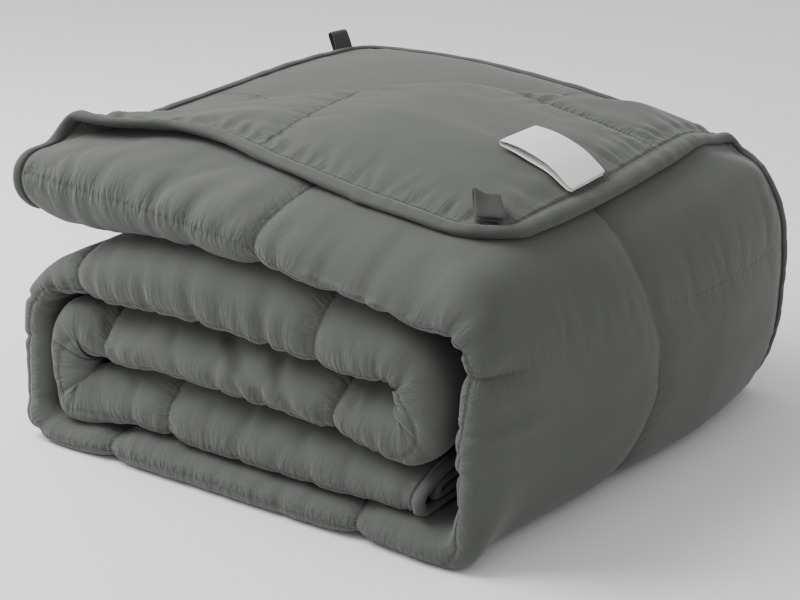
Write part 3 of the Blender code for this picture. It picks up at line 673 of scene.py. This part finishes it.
def quilted_sheet():
    """The whole blanket: a flat slab, cut finer where it shows, then folded and puckered."""
    us, vs = graded(SPANS_U), graded(SPANS_V)
    bm = bmesh.new()
    bmesh.ops.create_grid(bm, x_segments=len(us) - 1, y_segments=len(vs) - 1, size=0.5)
    for p in bm.verts:
        p.co.x = us[round((p.co.x + 0.5) * (len(us) - 1))]
        p.co.y = vs[round((p.co.y + 0.5) * (len(vs) - 1))]
        p.co.z = -1.0
    lifted = bmesh.ops.extrude_face_region(bm, geom=bm.faces[:])
    tops = [g for g in lifted["geom"] if isinstance(g, bmesh.types.BMVert)]
    bmesh.ops.translate(bm, verts=tops, vec=(0, 0, 2))
    for level in (1, 2, 3):
        finer = set()
        for face in bm.faces:
            middle = face.calc_center_median()
            if abs(middle.z) > 0.5 and in_view(middle.x, middle.y, middle.z) >= level:
                finer.update(face.edges)
        edges = [edge for edge in bm.edges if edge in finer]
        bmesh.ops.subdivide_edges(bm, edges=edges, cuts=1, use_grid_fill=True)
    bmesh.ops.recalc_face_normals(bm, faces=bm.faces[:])
    obj = add_piece("quilted_cover", bm)
    mesh = obj.data
    flat = vectors(mesh.vertices, "co")
    u, v = rounded(flat[:, 0], flat[:, 1])
    set_points(mesh, blanket(u, v, thickness(u, v) / 2 * flat[:, 2] + dent(u, v)))
    mesh.flip_normals()          # the map mirrors the slab
    points = vectors(mesh.vertices, "co")
    # the puckers are pressed lower near the floor
    tall = relief(u, v, flat[:, 2]) * (0.25 + 0.75 * smooth(points[:, 2] / 0.02))
    points += vectors(mesh.vertex_normals, "vector") * tall[:, None]
    points[:, 2] = np.maximum(points[:, 2], FLOOR_GAP)
    set_points(mesh, points)
    keep_flat_place(mesh, np.stack([u, v], axis=-1))
    for name, value in (("stitched", shows(u, v)), ("rim", from_edge(u, v))):
        kept = mesh.attributes.new(name, "FLOAT", "POINT")
        kept.data.foreach_set("value", value.astype(np.float32))
    shade_smooth(mesh)
    return obj


quilt = quilted_sheet()
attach(quilt, "root")
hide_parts("quilted_layers")


# ---- edge binding ----
BIND_OUT = 0.0034         # how far the binding stands beyond the layer's edge
BIND_IN = 0.0048          # how far it covers the layer
BIND_HALF = 0.0031        # half its thickness
BIND_FINE = 0.0028        # its cuts along the turned corner
BIND_COARSE = 0.0085      # and elsewhere
BIND_TIP = 0.49           # the profile's place of the binding's outermost line
# section of the binding: place across it, where -1 is its inner edge and 0 the layer's
# edge, and place off the layer's middle, where 1 is BIND_HALF; its two sides mirror
BIND_SIDE = ((-1.00, 0.46), (-0.84, 0.80), (-0.40, 1.06), (0.00, 1.06), (0.24, 0.88), (0.43, 0.50))
BIND_SLOT = ((-0.94, -0.38), (0.05, -0.38), (0.05, 0.38), (-0.94, 0.38))
BIND_PROFILE = (*BIND_SIDE, (BIND_TIP, 0.00), *((a, -b) for a, b in BIND_SIDE[::-1]), *BIND_SLOT)


def rim_at(s):
    """Point of the blanket's edge a length s round it, with its outward direction."""
    arc = math.pi * CORNER_R / 2
    sides = (LENGTH - 2 * CORNER_R, WIDTH - 2 * CORNER_R) * 2
    far_u, far_v = LENGTH - CORNER_R, WIDTH - CORNER_R
    corners = ((far_u, CORNER_R), (far_u, far_v), (CORNER_R, far_v), (CORNER_R, CORNER_R))
    starts = ((CORNER_R, 0.0), (LENGTH, CORNER_R), (far_u, WIDTH), (0.0, far_v))
    runs = ((1, 0), (0, 1), (-1, 0), (0, -1))
    flat = np.zeros((len(s), 2))
    out = np.zeros((len(s), 2))
    begin = 0.0
    for k in range(4):
        run = np.array(runs[k], float)
        away = np.array([run[1], -run[0]])
        pick = (s >= begin) & (s <= begin + sides[k])
        flat[pick] = np.array(starts[k]) + (s[pick] - begin)[:, None] * run
        out[pick] = away
        begin += sides[k]
        pick = (s > begin) & (s <= begin + arc + 1e-9)
        turn = (s[pick] - begin) / CORNER_R
        out[pick] = np.cos(turn)[:, None] * away + np.sin(turn)[:, None] * run
        flat[pick] = np.array(corners[k]) + out[pick] * CORNER_R
        begin += arc
    return flat, out


def rim_cuts():
    """Where the binding is cut along its length: close round the turned corner."""
    arc = math.pi * CORNER_R / 2
    total = 2 * (LENGTH + WIDTH - 4 * CORNER_R) + 4 * arc
    return graded(((0.62, BIND_FINE), (total - 0.66, BIND_COARSE), (total, BIND_FINE)))


def edge_binding():
    """Strip folded over the blanket's edge: a flat grid, closed round the profile."""
    cuts = rim_cuts()
    around = len(BIND_PROFILE)
    bm = bmesh.new()
    bmesh.ops.create_grid(bm, x_segments=len(cuts) - 1, y_segments=around, size=0.5)
    spots = np.array([p.co for p in bm.verts])
    column = np.rint((spots[:, 0] + 0.5) * (len(cuts) - 1)).astype(int)
    row = np.rint((spots[:, 1] + 0.5) * around).astype(int) % around
    s = cuts[column]
    flat, out = rim_at(s)
    profile_across, profile_off = np.array(BIND_PROFILE)[row].T
    outer = smooth((np.abs(profile_off) - 0.40) / 0.1) + (profile_across > 0.1)
    outer = np.clip(outer, 0, 1)
    beyond = profile_across * BIND_OUT / BIND_TIP
    across = np.where(profile_across < 0, profile_across * BIND_IN, beyond)
    # its inner edge wanders a little, its thickness is uneven, and the stitches gather it
    across = across + 0.0004 * ripple(s / 0.024, s * 0, 43) * (profile_across < -0.9)
    uneven = 1 + 0.10 * ripple(s / 0.011, s * 0, 41) * outer
    gathered = 0.00028 * ripple(s / 0.0045, across / 0.02, 47) * outer
    off = profile_off * BIND_HALF * uneven + np.sign(profile_off) * gathered
    place_flat = flat + out * across[:, None]
    tape = bm.loops.layers.uv.new("flat")
    for face in bm.faces:
        for loop in face.loops:
            k = loop.vert.index
            loop[tape].uv = (s[k], across[k] + (0.02 if profile_off[k] < 0 else 0.0))
    for p, q in zip(bm.verts, blanket(place_flat[:, 0], place_flat[:, 1], off)):
        p.co = q
    bmesh.ops.remove_doubles(bm, verts=bm.verts[:], dist=1e-6)
    bmesh.ops.recalc_face_normals(bm, faces=bm.faces[:])
    obj = add_piece("bound_edge", bm)
    shade_smooth(obj.data)
    return obj


binding = edge_binding()
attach(binding, "root")
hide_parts("edge_binding")


# ---- label and loops ----
LABEL_AT = (0.1035, 0.0068)  # middle of the label's foot on the flat blanket
LABEL_LONG = 0.049
LABEL_WIDE = 0.045
LABEL_THICK = 0.0007
LOOP_AT = (0.0125, 0.0125)
LOOP_LONG = 0.015
LOOP_WIDE = 0.015
LOOP_THICK = 0.0013
LOOP_TWIST = -45.0        # how fast one edge of the corner loop lifts off the cloth
BACK_LOOP_LONG = 0.0140
BACK_LOOP_WIDE = 0.018    # at its foot
BACK_LOOP_TAPER = 6.0     # share of that width that it loses for each metre of height
BACK_LOOP_FROM_CORNER = 0.034
BACK_LOOP_IN = 0.0014


def tape_piece(name, path, width, thick, across, place_on):
    """Folded tape: path holds (length, lift) pairs along its middle, place_on sets it down."""
    line = np.array(path)
    bm = bmesh.new()
    bmesh.ops.create_grid(bm, x_segments=len(line) - 1, y_segments=across, size=0.5)
    spots = np.array([p.co for p in bm.verts])
    at = np.rint((spots[:, 0] + 0.5) * (len(line) - 1)).astype(int)
    side = spots[:, 1] * width
    run = np.concatenate([[0.0], np.cumsum(np.linalg.norm(np.diff(line, axis=0), axis=1))])
    weave = bm.loops.layers.uv.new("flat")
    for face in bm.faces:
        for loop in face.loops:
            k = loop.vert.index
            loop[weave].uv = (run[at[k]], side[k])
    for p, k, s in zip(bm.verts, at, side):
        p.co = place_on(line[k][0], s, line[k][1])
    obj = add_piece(name, bm)
    shade_smooth(obj.data)
    wall = obj.modifiers.new("cloth", "SOLIDIFY")
    wall.thickness = thick
    wall.offset = 0.0
    wall.use_even_offset = True
    soft = obj.modifiers.new("soft", "SUBSURF")
    soft.levels = 1
    soft.render_levels = 1
    return obj


def hairpin(length, low, bow, rise, lap, steps, belly):
    """Side view of a folded tape: out from the height low, up by rise, round an end of
    radius bow and back on top, its legs lap apart where they start, a belly between."""
    points = [(0.0, low)]
    points += [(length * k / steps, low + rise * (k / steps) ** 2) for k in range(1, steps)]
    for k in range(7):
        a = -math.pi / 2 + math.pi * k / 6
        points.append((length + bow * math.cos(a), low + rise + bow + bow * math.sin(a)))
    for k in range(steps - 1, -1, -1):
        share = k / steps
        gap = 2 * bow * share ** 0.7 + lap * (1 - share) + belly * math.sin(math.pi * share)
        points.append((length * share, low + rise * share ** 2 + gap))
    return points


def on_flap(base, turn, cloth, twist=0.0):
    """Sets a tape down on the turned corner: turn is its heading, cloth the share of the
    layer's thickness under it, and twist lifts one of its edges."""
    cos, sin = math.cos(turn), math.sin(turn)

    def put(t, s, h):
        u = base[0] + t * sin + s * cos
        v = base[1] + t * cos - s * sin
        lift = float(thickness(np.array(u), np.array(v))) / 2 * cloth + h
        lift = lift + max(0.0, twist * s * t)
        return tuple(blanket(u, v, -lift).reshape(3))

    return put


def behind_corner(t, s, h):
    """Sets the loop down that stands at the far end, by its corner."""
    foot = Vector(tuple(blanket(-0.001, WIDTH - BACK_LOOP_FROM_CORNER, 0.0).reshape(3)))
    up = Vector((-0.42, -0.02, 0.90)).normalized()
    side = Vector((0.10, 0.98, 0.02)).normalized()
    out = side.cross(up)
    return tuple(foot + up * t + side * s * (1 - BACK_LOOP_TAPER * t) + out * (h - BACK_LOOP_IN))


label_side = hairpin(LABEL_LONG, low=0.0019, bow=0.0014, rise=0.0010, lap=0.0020, steps=10,
                     belly=0.0024)
label = tape_piece("care_tape", label_side, LABEL_WIDE, LABEL_THICK, 12,
                   on_flap(LABEL_AT, 0.0, 1.0))
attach(label, "root")
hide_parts("care_label")

corner_side = hairpin(LOOP_LONG, low=0.0043, bow=0.0028, rise=0.0020, lap=0.0022, steps=8,
                      belly=0.0)
corner_loop = tape_piece("corner_tie_loop", corner_side, LOOP_WIDE, LOOP_THICK, 6,
                         on_flap(LOOP_AT, 0.785, 0.0, LOOP_TWIST))
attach(corner_loop, "root")
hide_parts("corner_loop")

back_side = hairpin(BACK_LOOP_LONG, low=0.0, bow=0.0022, rise=0.0, lap=0.0022, steps=8,
                    belly=0.0)
back_loop = tape_piece("back_tie_loop", back_side, BACK_LOOP_WIDE, LOOP_THICK, 6, behind_corner)
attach(back_loop, "root")
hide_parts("back_loop")


# ---- materials ----
STITCH = 0.0034           # length of one stitch with the gap after it
STITCH_ON = 0.68          # share of it that shows as thread
THREAD_HALF = 0.00042
GROOVE_HALF = 0.0022
HEM_LINE = 0.0060         # the binding's own stitch line, in from the edge, darkened there with painted shade
HEM_LINE_HALF = 0.0018
DIRECTIONS = (("X", "Y", "Along"), ("Y", "X", "Across"))
POCKET_INPUTS = (
    ("Flat", "NodeSocketVector", None),
    ("Along", "NodeSocketFloat", POCKET_U),
    ("Across", "NodeSocketFloat", POCKET_V),
)


def plug(tree, socket, value):
    """Set a socket, or link it where the value is another node's output."""
    if isinstance(value, bpy.types.NodeSocket):
        tree.links.new(value, socket)
    else:
        socket.default_value = value


def node(tree, kind, **inputs):
    made = tree.nodes.new(kind)
    for name, value in inputs.items():
        plug(tree, made.inputs[name], value)
    return made


def maths(tree, operation, *values):
    made = tree.nodes.new("ShaderNodeMath")
    made.operation = operation
    for k, value in enumerate(values):
        plug(tree, made.inputs[k], value)
    return made.outputs[0]


def mixed(tree, share, first, second):
    """Colour between two colours, by a share from 0 to 1."""
    made = tree.nodes.new("ShaderNodeMix")
    made.data_type = "RGBA"
    for k, value in ((0, share), (6, first), (7, second)):
        plug(tree, made.inputs[k], value)
    return made.outputs[2]


def group(name, inputs, outputs):
    """Empty node group with its sockets: the tree, its input node and its output node."""
    tree = bpy.data.node_groups.new(name, "ShaderNodeTree")
    for label, kind, value in inputs:
        socket = tree.interface.new_socket(name=label, in_out="INPUT", socket_type=kind)
        if value is not None:
            socket.default_value = value
    for label in outputs:
        tree.interface.new_socket(name=label, in_out="OUTPUT", socket_type="NodeSocketFloat")
    return tree, tree.nodes.new("NodeGroupInput"), tree.nodes.new("NodeGroupOutput")


def off_line(tree, place, pocket):
    """Distance to the nearest stitch line of one direction."""
    share = maths(tree, "DIVIDE", place, pocket)
    nearest = maths(tree, "ROUND", share)
    off = maths(tree, "ABSOLUTE", maths(tree, "SUBTRACT", share, nearest))
    return maths(tree, "MULTIPLY", off, pocket)


def seam_group():
    """Stitch lines of the quilting: a groove, and the dashes of the thread in it."""
    inputs = POCKET_INPUTS + (("Stitch", "NodeSocketFloat", STITCH),)
    tree, given, out = group("stitch lines", inputs, ("Groove", "Thread"))
    parts = node(tree, "ShaderNodeSeparateXYZ", Vector=given.outputs["Flat"])
    grooves, threads = [], []
    for mine, other, size in DIRECTIONS:
        off = off_line(tree, parts.outputs[mine], given.outputs[size])
        rise = maths(tree, "SMOOTH_MIN", maths(tree, "DIVIDE", off, GROOVE_HALF), 1.0, 0.2)
        grooves.append(maths(tree, "SUBTRACT", 1.0, rise))
        beat = maths(tree, "DIVIDE", parts.outputs[other], given.outputs["Stitch"])
        on = maths(tree, "LESS_THAN", maths(tree, "FRACT", beat), STITCH_ON)
        thin = maths(tree, "LESS_THAN", off, THREAD_HALF)
        threads.append(maths(tree, "MULTIPLY", on, thin))
    plug(tree, out.inputs["Groove"], maths(tree, "MAXIMUM", *grooves))
    plug(tree, out.inputs["Thread"], maths(tree, "MAXIMUM", *threads))
    return tree


def weave_group():
    """Fine plain weave with a slightly brushed, uneven face."""
    tree, given, out = group("brushed weave", (
        ("Flat", "NodeSocketVector", None),
        ("Threads", "NodeSocketFloat", 1900.0),
        ("Nap", "NodeSocketFloat", 260.0),
    ), ("Height", "Shade"))
    flat, threads = given.outputs["Flat"], given.outputs["Threads"]
    parts = node(tree, "ShaderNodeSeparateXYZ", Vector=flat)
    warp = maths(tree, "SINE", maths(tree, "MULTIPLY", parts.outputs["X"], threads))
    weft = maths(tree, "SINE", maths(tree, "MULTIPLY", parts.outputs["Y"], threads))
    cross = maths(tree, "MULTIPLY", warp, weft)
    nap = node(tree, "ShaderNodeTexNoise", Vector=flat, Scale=given.outputs["Nap"], Detail=3.0)
    cloud = node(tree, "ShaderNodeTexNoise", Vector=flat, Scale=14.0, Detail=2.0)
    plug(tree, out.inputs["Height"], maths(tree, "MULTIPLY_ADD", cross, 0.35, nap.outputs["Fac"]))
    clouded = maths(tree, "MULTIPLY", cloud.outputs["Fac"], 0.5)
    plug(tree, out.inputs["Shade"], maths(tree, "MULTIPLY_ADD", nap.outputs["Fac"], 0.5, clouded))
    return tree


def gather_group():
    """Small gathers square to the stitch lines, finer than the mesh carries."""
    tree, given, out = group("seam gathers", POCKET_INPUTS, ("Height",))
    parts = node(tree, "ShaderNodeSeparateXYZ", Vector=given.outputs["Flat"])
    heights = []
    for mine, other, size in DIRECTIONS:
        off = off_line(tree, parts.outputs[mine], given.outputs[size])
        fade = maths(tree, "POWER", 2.718, maths(tree, "MULTIPLY", off, -115.0))
        close = maths(tree, "MULTIPLY", parts.outputs[other], 175.0)
        drawn_out = maths(tree, "MULTIPLY", parts.outputs[mine], 50.0)
        stretched = node(tree, "ShaderNodeCombineXYZ", X=close, Y=drawn_out)
        noise = node(tree, "ShaderNodeTexNoise", Vector=stretched.outputs[0], Scale=1.0, Detail=2.0)
        ridge = maths(tree, "ABSOLUTE", maths(tree, "SUBTRACT", noise.outputs["Fac"], 0.5))
        ridge = maths(tree, "POWER", maths(tree, "MULTIPLY", ridge, 2.0), 0.7)
        heights.append(maths(tree, "MULTIPLY", ridge, fade))
    plug(tree, out.inputs["Height"], maths(tree, "ADD", *heights))
    return tree


SEAMS = seam_group()
WEAVE = weave_group()
GATHERS = gather_group()


def use(tree, shared, flat):
    """Place a node group in a material, on the cloth's flat map."""
    made = tree.nodes.new("ShaderNodeGroup")
    made.node_tree = shared
    plug(tree, made.inputs["Flat"], flat)
    return made.outputs


def on_points(tree, name):
    made = tree.nodes.new("ShaderNodeAttribute")
    made.attribute_name = name
    return made.outputs["Fac"]


def quilting(tree, flat, colour, under, bump):
    """Stitch lines, thread and gathers over the plain cloth: its colour, with painted shade in the
    stitch grooves and along the binding's hem line, and its normal.
    """
    seams = use(tree, SEAMS, flat)
    gathers = use(tree, GATHERS, flat)
    shown = on_points(tree, "stitched")
    # the line that holds the binding, with painted shade as a dark seam along it
    off = maths(tree, "ABSOLUTE", maths(tree, "SUBTRACT", on_points(tree, "rim"), HEM_LINE))
    edge = maths(tree, "SUBTRACT", 1.0, maths(tree, "DIVIDE", off, HEM_LINE_HALF))
    edge = maths(tree, "MULTIPLY", maths(tree, "MAXIMUM", edge, 0.0), 1.6)
    # the groove mask sinks the bump and also paints shade into the colour
    groove_and_painted_shade = maths(tree, "MAXIMUM", maths(tree, "MULTIPLY", seams["Groove"], shown), edge)
    stitch = maths(tree, "MULTIPLY", seams["Thread"], shown)
    # deep is a darkened copy of the cloth colour: painted shade in the stitch grooves and along the
    # hem line
    deep = (*(part * 0.4 for part in colour), 1.0)
    seen = mixed(tree, maths(tree, "MULTIPLY", groove_and_painted_shade, 0.30), under, deep)
    seen = mixed(tree, maths(tree, "MULTIPLY", stitch, 0.30), seen, (*colour, 1.0))
    folds = node(tree, "ShaderNodeBump", Strength=0.9, Distance=0.0023, Normal=bump,
                 Height=maths(tree, "MULTIPLY", gathers["Height"], shown))
    sunk = maths(tree, "SUBTRACT", maths(tree, "MULTIPLY", stitch, 0.4), groove_and_painted_shade)
    grooves = node(tree, "ShaderNodeBump", Strength=0.7, Distance=0.0010,
                   Normal=folds.outputs["Normal"], Height=sunk)
    return seen, grooves.outputs["Normal"]


def cloth_material(name, colour, light, rough, sheen, quilted=False):
    """Brushed microfibre: two close shades, a soft sheen, weave and gathers in the normal."""
    mat = bpy.data.materials.new(name)
    mat.use_nodes = True
    tree = mat.node_tree
    uv = tree.nodes.new("ShaderNodeUVMap")
    uv.uv_map = "flat"
    flat = uv.outputs["UV"]
    weave = use(tree, WEAVE, flat)
    seen = mixed(tree, weave["Shade"], (*colour, 1.0), (*light, 1.0))
    bump = node(tree, "ShaderNodeBump", Strength=0.12, Distance=0.0004, Height=weave["Height"])
    normal = bump.outputs["Normal"]
    if quilted:
        seen, normal = quilting(tree, flat, colour, seen, normal)
    shader = tree.nodes["Principled BSDF"]
    for socket, value in (
        ("Base Color", seen),
        ("Normal", normal),
        ("Roughness", rough),
        ("Specular IOR Level", 0.25),
        ("Sheen Weight", sheen),
        ("Sheen Roughness", 0.45),
        ("Sheen Tint", (0.80, 0.82, 0.80, 1.0)),
    ):
        plug(tree, shader.inputs[socket], value)
    return mat


cover = cloth_material("grey microfibre", (0.060, 0.063, 0.058), (0.074, 0.078, 0.072),
                       rough=0.80, sheen=0.20, quilted=True)
tape = cloth_material("grey binding", (0.050, 0.053, 0.049), (0.065, 0.069, 0.063),
                      rough=0.76, sheen=0.20)
# the loops get a darker copy of the binding tape: painted shade
shade_darkened_loop_tape = cloth_material("loop tape darkened by painted shade", (0.041, 0.043, 0.041), (0.053, 0.056, 0.052),
                           rough=0.78, sheen=0.15)
white = cloth_material("white label tape", (0.66, 0.66, 0.65), (0.76, 0.76, 0.75),
                       rough=0.70, sheen=0.10)
for piece, cloth in ((quilt, cover), (binding, tape), (label, white), (corner_loop, shade_darkened_loop_tape),
                     (back_loop, shade_darkened_loop_tape)):
    piece.data.materials.append(cloth)


# ---- floor, light and camera ----
KEY_SPOT = (-0.92, -0.50, 1.26)  # the lamp over the front left
KEY_AIM = (0, 0, 0.1)
CAMERA_TURN = math.radians(37.85)
CAMERA_RISE = math.radians(17.84)
CAMERA_AWAY = 1.5
CAMERA_AIM = Vector((-0.003, 0.0, 0.080 - SETTLE)) + MOVED


def place_in_scene(name, data, spot, way):
    """Set a lamp or a camera down at a spot, looking along a direction."""
    obj = bpy.data.objects.new(name, data)
    obj.location = spot
    obj.rotation_euler = way.to_track_quat("-Z", "Y").to_euler()
    bpy.context.scene.collection.objects.link(obj)
    return obj


def studio():
    """Plain pale floor, an even white surround and one soft lamp."""
    bm = bmesh.new()
    bmesh.ops.create_grid(bm, x_segments=8, y_segments=8, size=4.0)
    floor = add_piece("pale_floor", bm)
    mat = bpy.data.materials.new("pale floor")
    mat.use_nodes = True
    shader = mat.node_tree.nodes["Principled BSDF"]
    shader.inputs["Base Color"].default_value = (0.80, 0.80, 0.80, 1.0)
    shader.inputs["Roughness"].default_value = 0.9
    floor.data.materials.append(mat)
    world = bpy.data.worlds.new("soft studio")
    bpy.context.scene.world = world
    world.use_nodes = True
    surround = world.node_tree.nodes["Background"]
    surround.inputs["Color"].default_value = (1.0, 1.0, 1.0, 1.0)
    surround.inputs["Strength"].default_value = 0.90
    lamp = bpy.data.lights.new("key", "AREA")
    lamp.shape = "SQUARE"
    lamp.size = 1.1
    lamp.energy = 41.0
    place_in_scene("key", lamp, KEY_SPOT, Vector(KEY_AIM) - Vector(KEY_SPOT))


def photo_camera():
    """Camera at the photograph's viewing angle."""
    level = math.cos(CAMERA_RISE)
    back = Vector((math.sin(CAMERA_TURN) * level, -math.cos(CAMERA_TURN) * level,
                   math.sin(CAMERA_RISE)))
    camera = bpy.data.cameras.new("view")
    camera.sensor_width = 36.0
    camera.lens = 99.07
    spot = CAMERA_AIM + back * CAMERA_AWAY
    bpy.context.scene.camera = place_in_scene("view", camera, spot, -back)


studio()
photo_camera()
